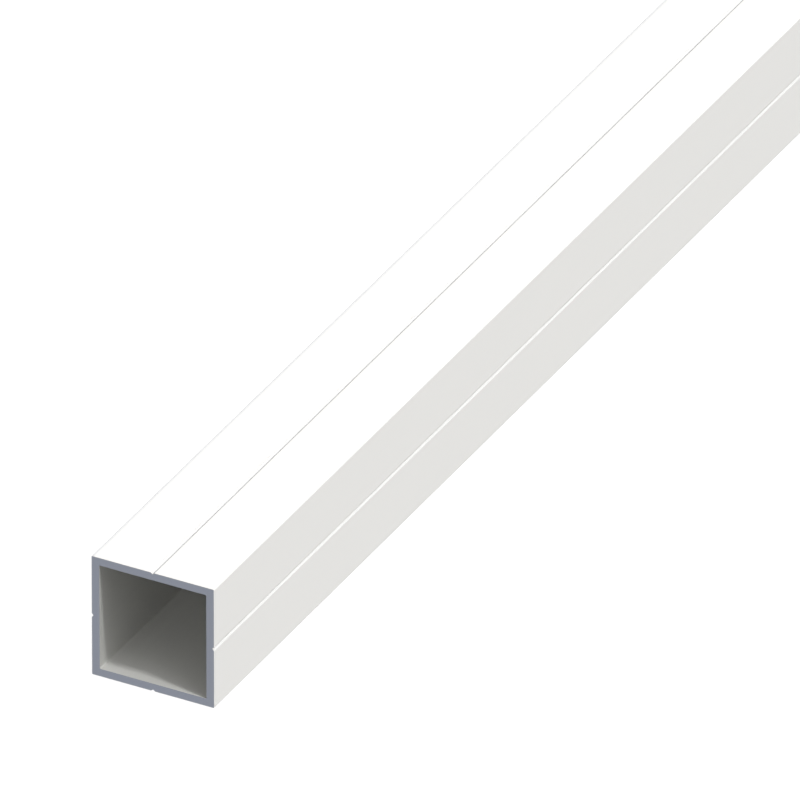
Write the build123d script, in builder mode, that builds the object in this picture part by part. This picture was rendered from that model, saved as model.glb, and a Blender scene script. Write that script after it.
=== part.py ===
from build123d import *
import os

# Square aluminium tube for plug-together frames, sawn to a stock length and lying on one face.
# Millimetres. The origin is under the middle of the length, on the face the tube lies on.
# +Y runs along the tube and +Z is up.

# Stock length
length = 1000.0

# Section
width = 23.5  # over the outer faces, the same both ways
wall = 1.5  # between the bore and the outer faces
edge_radius = 0.3  # the four long outer edges
root_radius = 0.2  # the four long inner corners

# Centre mark: a shallow V groove that runs the whole length of each outer face
mark_width = 0.8  # across its mouth
mark_depth = 0.3

# Sizes that follow from those above
bore = width - 2 * wall
face_distance = width / 2  # from the tube's axis to each outer face

# The section is drawn upright on the near end, centred on the tube's axis.
near_end = Plane(origin=(0, -length / 2, face_distance), x_dir=(1, 0, 0), z_dir=(0, -1, 0))

with BuildPart() as square_tube:
    with BuildSketch(near_end) as section:
        RectangleRounded(width, width, edge_radius)
        RectangleRounded(bore, bore, root_radius, mode=Mode.SUBTRACT)
        # The groove's two flanks carry on past the face, as deep outside it as inside,
        # so that its mouth is cut clean.
        with PolarLocations(face_distance, 4):
            Polygon(
                (-mark_depth, 0),
                (mark_depth, -mark_width),
                (mark_depth, mark_width),
                mode=Mode.SUBTRACT,
            )
    extrude(amount=-length)
square_tube.part.label = "square_tube"

os.makedirs("parts", exist_ok=True)
export_step(square_tube.part, "parts/square_tube.step")
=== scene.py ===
import math
from collections import namedtuple

import bpy
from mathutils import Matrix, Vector


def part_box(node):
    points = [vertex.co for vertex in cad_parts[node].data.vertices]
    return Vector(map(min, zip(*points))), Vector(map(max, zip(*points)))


# White coated square aluminium tube, sawn to length, lying on a pale studio floor.
# Metres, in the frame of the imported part: +Y runs along the tube and +Z is up.
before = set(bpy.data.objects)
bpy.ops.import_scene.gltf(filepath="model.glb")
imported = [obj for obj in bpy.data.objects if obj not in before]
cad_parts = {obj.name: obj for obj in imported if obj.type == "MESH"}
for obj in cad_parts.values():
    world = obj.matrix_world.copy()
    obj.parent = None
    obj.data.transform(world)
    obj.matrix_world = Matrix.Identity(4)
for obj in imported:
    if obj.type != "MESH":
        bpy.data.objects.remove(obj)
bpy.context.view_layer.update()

MM = 0.001

# The tube's own sizes
low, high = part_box("square_tube")
half_width = (high.x - low.x) / 2
half_length = (high.y - low.y) / 2
axis_height = (low.z + high.z) / 2
wall = 1.5 * MM
mark_width = 0.8 * MM
mark_depth = 0.3 * MM
edge_radius = 0.3 * MM

# The coat: baked powder. Shade is painted into it: a little in the marks and on the edges, more
# along the two left edges, and a dark line in the upper mark, just to the right of its bottom.
coat_white = (0.865, 0.857, 0.833, 1)
coat_roughness = 0.38
coat_thickness = 0.07 * MM
peel_size = 1.6 * MM
peel_height = 0.0012 * MM
cloud_size = 30 * MM
cloud_shade = 0.985
cloud_roughness = 0.06
# Painted shade: the coat in the marks is drawn darker.
mark_painted_shade = (0.733, 0.732, 0.72, 1)
# Painted shade on the edges: their coat is drawn a little darker.
edge_painted_shade = 0.93
# Painted shade along the two left edges, the side turned from the keys.
left_edge_painted_shade = (0.745, 0.747, 0.75, 1)
left_shade_width = 0.75 * MM
# Painted shade: a dark line in the upper mark, on its flank turned from the keys.
upper_mark_painted_shade = (0.39, 0.395, 0.405, 1)
upper_mark_shade_width = 0.24 * MM
upper_mark_shade_place = 0.15 * MM

# The sawn ends
cut_grey = (0.415, 0.445, 0.525, 1)
cut_metal = 0.8
cut_roughness = 0.45
cut_layer = 0.01 * MM
saw_radius = 150 * MM
saw_pitch = 0.35 * MM
saw_height = 0.002 * MM

# The bore
bore_grey = (0.63, 0.63, 0.605, 1)
bore_roughness = 0.6
die_line_size = 0.5 * MM
die_line_stretch = 400
die_line_height = 0.001 * MM
die_line_shade = 0.96

# The camera stands far off with a long lens, so that the tube's edges stay nearly parallel.
camera_azimuth = 28.015
camera_elevation = 31.277
camera_target = Vector((9.99, -430.0, 22.87)) * MM
camera_distance = 6417.4 * MM
camera_lens = 1700
nearest_seen = 0.1
farthest_seen = 100.0

# Each light: its name, azimuth, elevation, spread and how bright it makes a white surface that faces it.
# Two keys stand to the right of the tube, one towards each of its ends.
Light = namedtuple("Light", "name azimuth elevation spread strength")
lights = (
    Light("near key", 79.5, 57.5, 4.5, 0.397),
    Light("far key", 100.7, 57.5, 4.5, 0.48),
    Light("high right fill", 75, 57.5, 24, 0.152),
    Light("front right fill", 60, 45, 30, 0.067),
    Light("front fill", 8, 20, 12, 0.114),
    Light("low front fill", 0, 5, 12, 0.227),
    Light("left side fill", 255, -10, 40, 0.2),
)

# The room, as the brightness seen above the tube and below it. Below, it is darker to the front right,
# so that little light comes up into the bore. The camera itself sees a plain backdrop.
light_above = 0.314
light_below = 0.464
light_quarter = 0.192
quarter_fade = 0.3
backdrop = 0.87

# The floor is a pale light table, so that shadows on it stay faint. Its sheen is so thin that it
# shows only one lamp: a strong one across from the camera, which lights nothing else.
floor_grey = (0.06, 0.06, 0.06, 1)
floor_roughness = 0.9
floor_glow = 0.735
floor_sheen = 0.002
sheen_roughness = 0.3
glare = Light("floor glare", camera_azimuth + 180, camera_elevation, 1, 1.8)
floor_reach = 80.0


class Amount:
    """A number that may vary over a surface. Sums written with it add Math nodes."""

    def __init__(self, nodes, socket):
        self.nodes = nodes
        self.socket = socket

    def __add__(self, other):
        return self.nodes.maths("ADD", self, other)

    def __radd__(self, other):
        return self.nodes.maths("ADD", other, self)

    def __sub__(self, other):
        return self.nodes.maths("SUBTRACT", self, other)

    def __rsub__(self, other):
        return self.nodes.maths("SUBTRACT", other, self)

    def __mul__(self, other):
        return self.nodes.maths("MULTIPLY", self, other)

    def __rmul__(self, other):
        return self.nodes.maths("MULTIPLY", other, self)

    def __neg__(self):
        return self.nodes.maths("SUBTRACT", 0.0, self)

    def __abs__(self):
        return self.nodes.maths("ABSOLUTE", self)

    def __gt__(self, other):
        return self.nodes.maths("GREATER_THAN", self, other)

    def __lt__(self, other):
        return self.nodes.maths("LESS_THAN", self, other)


class Nodes:
    """The node tree of one material or of the world, and the ways in which it is filled."""

    def __init__(self, tree):
        self.tree = tree
        tree.nodes.clear()

    def add(self, kind, settings, inputs, output=None):
        """Adds a node, sets it up, fills its sockets by identifier and gives the output asked for."""
        node = self.tree.nodes.new(kind)
        for name, setting in settings.items():
            setattr(node, name, setting)
        for socket in node.inputs:
            if socket.identifier in inputs:
                self.fill(socket, inputs[socket.identifier])
        found = {socket.identifier: socket for socket in node.outputs}
        return found.get(output)

    def fill(self, socket, value):
        if isinstance(value, Amount):
            value = value.socket
        if isinstance(value, bpy.types.NodeSocket):
            self.tree.links.new(value, socket)
        else:
            socket.default_value = value

    def number(self, kind, settings, inputs, output):
        return Amount(self, self.add(kind, settings, inputs, output))

    def maths(self, operation, first, second=0.0, third=0.0):
        values = {"Value": first, "Value_001": second, "Value_002": third}
        return self.number("ShaderNodeMath", {"operation": operation}, values, "Value")

    def larger(self, first, second):
        return self.maths("MAXIMUM", first, second)

    def smaller(self, first, second):
        return self.maths("MINIMUM", first, second)

    def between(self, value, start, end):
        """0 before start, 1 past end and a smooth rise from one to the other."""
        settings = {"data_type": "FLOAT", "interpolation_type": "SMOOTHSTEP"}
        inputs = {"Value": value, "From Min": start, "From Max": end}
        return self.number("ShaderNodeMapRange", settings, inputs, "Result")

    def colour_mix(self, share, under, over):
        inputs = {"Factor_Float": share, "A_Color": under, "B_Color": over}
        return self.add("ShaderNodeMix", {"data_type": "RGBA"}, inputs, "Result_Color")

    def three_numbers(self, vector):
        """The X, Y and Z of a vector."""
        inputs = {"Vector": vector}
        return [self.number("ShaderNodeSeparateXYZ", {}, inputs, axis) for axis in "XYZ"]

    def noise(self, point, size, stretch=(1, 1, 1)):
        """Soft noise from about 0 to 1, in patches of this size, longer by the stretch."""
        scale = [1 / (size * by) for by in stretch]
        inputs = {"Vector": point, "Vector_001": scale}
        spot = self.add("ShaderNodeVectorMath", {"operation": "MULTIPLY"}, inputs, "Vector")
        inputs = {"Vector": spot, "Scale": 1.0, "Detail": 2.0}
        return self.number("ShaderNodeTexNoise", {}, inputs, "Fac")


# What a surface is made of at each point: its colour, roughness, share of bare metal and relief
Surface = namedtuple("Surface", "colour roughness metal relief")


def laid_over(nodes, cover, under, over):
    """One surface over another where the cover is 1."""
    return Surface(
        nodes.colour_mix(cover, under.colour, over.colour),
        under.roughness * (1 - cover) + over.roughness * cover,
        under.metal * (1 - cover) + over.metal * cover,
        under.relief * (1 - cover) + over.relief * cover,
    )


def dimmed(colour, share):
    return tuple(share * c for c in colour[:3]) + (1,)


def white_coat(nodes, point, mark_shade_mask, edge_shade_mask, left_edge_shade, upper_mark_shade):
    """Baked powder: satin, with a faint orange peel, a tone that drifts a little and painted shade."""
    peel = nodes.noise(point, peel_size)
    cloud = nodes.noise(point, cloud_size)
    colour = nodes.colour_mix(cloud, coat_white, dimmed(coat_white, cloud_shade))
    colour = nodes.colour_mix(mark_shade_mask, colour, mark_painted_shade)
    colour = nodes.colour_mix(edge_shade_mask, colour, dimmed(coat_white, edge_painted_shade))
    colour = nodes.colour_mix(left_edge_shade, colour, left_edge_painted_shade)
    colour = nodes.colour_mix(upper_mark_shade, colour, upper_mark_painted_shade)
    roughness = coat_roughness + cloud_roughness * (cloud - 0.5)
    return Surface(colour, roughness, 0.0, peel * peel_height)


def sawn_metal(nodes, x, z):
    """Bare metal with the fine arcs of a circular saw's teeth."""
    across = x - half_width
    up = z - axis_height + saw_radius
    reach = nodes.maths("SQRT", across * across + up * up)
    stroke = nodes.maths("SINE", reach * (2 * math.pi / saw_pitch))
    return Surface(cut_grey, cut_roughness, cut_metal, stroke * saw_height)


def bore_wall(nodes, point):
    """The inside as it left the die: lines along its length."""
    lines = nodes.noise(point, die_line_size, (1, die_line_stretch, 1))
    colour = nodes.colour_mix(lines, bore_grey, dimmed(bore_grey, die_line_shade))
    return Surface(colour, bore_roughness, 0.0, lines * die_line_height)


def tube_finish():
    """The coat outside, bare metal on the sawn ends and the drawn wall in the bore."""
    material = bpy.data.materials.new("white_coated_aluminium_tube")
    material.use_nodes = True
    nodes = Nodes(material.node_tree)
    point = nodes.add("ShaderNodeTexCoord", {}, {}, "Object")
    x, y, z = nodes.three_numbers(point)
    aside = abs(x)
    above = abs(z - axis_height)
    out = nodes.larger(aside, above)
    from_middle = nodes.smaller(aside, above)

    # The coat ends where the saw cut it, so bare metal shows on each end up to the coat's thickness
    # from the outside and from the marks.
    at_end = abs(y) > half_length - cut_layer
    mark_here = nodes.larger(mark_depth - from_middle * (2 * mark_depth / mark_width), 0.0)
    bare = at_end * (out + mark_here < half_width - coat_thickness)
    inside = out < half_width - wall / 2

    # Painted shade in the marks
    mark_shade_mask = from_middle < mark_width / 2
    # Painted shade on the edges
    edge_shade_mask = nodes.between(from_middle, half_width - 1.5 * edge_radius, half_width - 0.5 * edge_radius)
    # Painted shade along the left edges
    left_shade_band = nodes.between(from_middle, half_width - left_shade_width, half_width - left_shade_width / 2)
    # Painted shade as a line in the upper mark
    upper_mark_shade_band = 1 - nodes.between(abs(x - upper_mark_shade_place), upper_mark_shade_width / 2, upper_mark_shade_width)
    coat = white_coat(nodes, point, mark_shade_mask, edge_shade_mask, (x < 0.0) * left_shade_band, (z > axis_height) * upper_mark_shade_band)

    surface = laid_over(nodes, inside, coat, bore_wall(nodes, point))
    surface = laid_over(nodes, bare, surface, sawn_metal(nodes, x, z))
    inputs = {"Strength": 1.0, "Distance": 1.0, "Height": surface.relief}
    bump = nodes.add("ShaderNodeBump", {}, inputs, "Normal")
    inputs = {
        "Base Color": surface.colour,
        "Roughness": surface.roughness,
        "Metallic": surface.metal,
        "Normal": bump,
    }
    shader = nodes.add("ShaderNodeBsdfPrincipled", {}, inputs, "BSDF")
    nodes.add("ShaderNodeOutputMaterial", {}, {"Surface": shader})
    return material


def floor_finish():
    """A table that glows, under a thin sheen."""
    material = bpy.data.materials.new("pale_floor")
    material.use_nodes = True
    nodes = Nodes(material.node_tree)
    inputs = {
        "Base Color": floor_grey,
        "Roughness": floor_roughness,
        "Specular IOR Level": 0.0,
        "Emission Color": (1, 1, 1, 1),
        "Emission Strength": floor_glow,
    }
    table = nodes.add("ShaderNodeBsdfPrincipled", {}, inputs, "BSDF")
    inputs = {"Color": (1, 1, 1, 1), "Roughness": sheen_roughness}
    sheen = nodes.add("ShaderNodeBsdfAnisotropic", {}, inputs, "BSDF")
    inputs = {"Fac": floor_sheen, "Shader": table, "Shader_001": sheen}
    shader = nodes.add("ShaderNodeMixShader", {}, inputs, "Shader")
    nodes.add("ShaderNodeOutputMaterial", {}, {"Surface": shader})
    return material


def towards(azimuth, elevation):
    """The way to something seen at this azimuth, from the near end towards the right face."""
    azimuth = math.radians(azimuth)
    elevation = math.radians(elevation)
    return Vector((
        math.sin(azimuth) * math.cos(elevation),
        -math.cos(azimuth) * math.cos(elevation),
        math.sin(elevation),
    ))


def add_camera():
    back = towards(camera_azimuth, camera_elevation)
    data = bpy.data.cameras.new("camera")
    data.lens = camera_lens
    data.clip_start = nearest_seen
    data.clip_end = farthest_seen
    camera = bpy.data.objects.new("camera", data)
    camera.location = camera_target + back * camera_distance
    camera.rotation_euler = back.to_track_quat("Z", "Y").to_euler()
    bpy.context.scene.collection.objects.link(camera)
    bpy.context.scene.camera = camera


def add_light(light):
    """A light so far off that it is the same all along the tube."""
    data = bpy.data.lights.new(light.name, "SUN")
    data.energy = math.pi * light.strength
    data.angle = math.radians(light.spread)
    lamp = bpy.data.objects.new(light.name, data)
    way = towards(light.azimuth, light.elevation)
    lamp.rotation_euler = way.to_track_quat("Z", "Y").to_euler()
    bpy.context.scene.collection.objects.link(lamp)
    return lamp


def add_room():
    """Light from all round: one brightness above, two below, and a plain backdrop for the camera."""
    world = bpy.data.worlds.new("room")
    world.use_nodes = True
    nodes = Nodes(world.node_tree)
    way = nodes.add("ShaderNodeTexCoord", {}, {}, "Generated")
    right, back, up = nodes.three_numbers(way)
    front_right = (right > 0.0) * nodes.between(right * -back, 0.0, quarter_fade)
    below = light_below + front_right * (light_quarter - light_below)
    room = below + (up > 0.0) * (light_above - below)
    seen = nodes.number("ShaderNodeLightPath", {}, {}, "Is Camera Ray")
    glow = room * (1 - seen) + backdrop * seen
    inputs = {"Color": (1, 1, 1, 1), "Strength": glow}
    shader = nodes.add("ShaderNodeBackground", {}, inputs, "Background")
    nodes.add("ShaderNodeOutputWorld", {}, {"Surface": shader})
    bpy.context.scene.world = world


def add_floor():
    mesh = bpy.data.meshes.new("floor")
    corners = [(-floor_reach, -floor_reach, 0), (floor_reach, -floor_reach, 0)]
    corners += [(floor_reach, floor_reach, 0), (-floor_reach, floor_reach, 0)]
    mesh.from_pydata(corners, [], [(0, 1, 2, 3)])
    mesh.materials.append(floor_finish())
    floor = bpy.data.objects.new("floor", mesh)
    bpy.context.scene.collection.objects.link(floor)

    # The tube is lit as if nothing lay under it.
    floor.visible_diffuse = False
    floor.visible_glossy = False
    floor.visible_shadow = False

    # The glare's lamp lights the floor alone, and nothing stands in its way.
    alone = bpy.data.collections.new("floor_alone")
    alone.objects.link(floor)
    lamp = add_light(glare)
    lamp.light_linking.receiver_collection = alone
    lamp.light_linking.blocker_collection = alone


add_camera()
for light in lights:
    add_light(light)
add_room()
add_floor()
bpy.context.scene.view_settings.view_transform = "Standard"

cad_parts["square_tube"].material_slots[0].material = tube_finish()
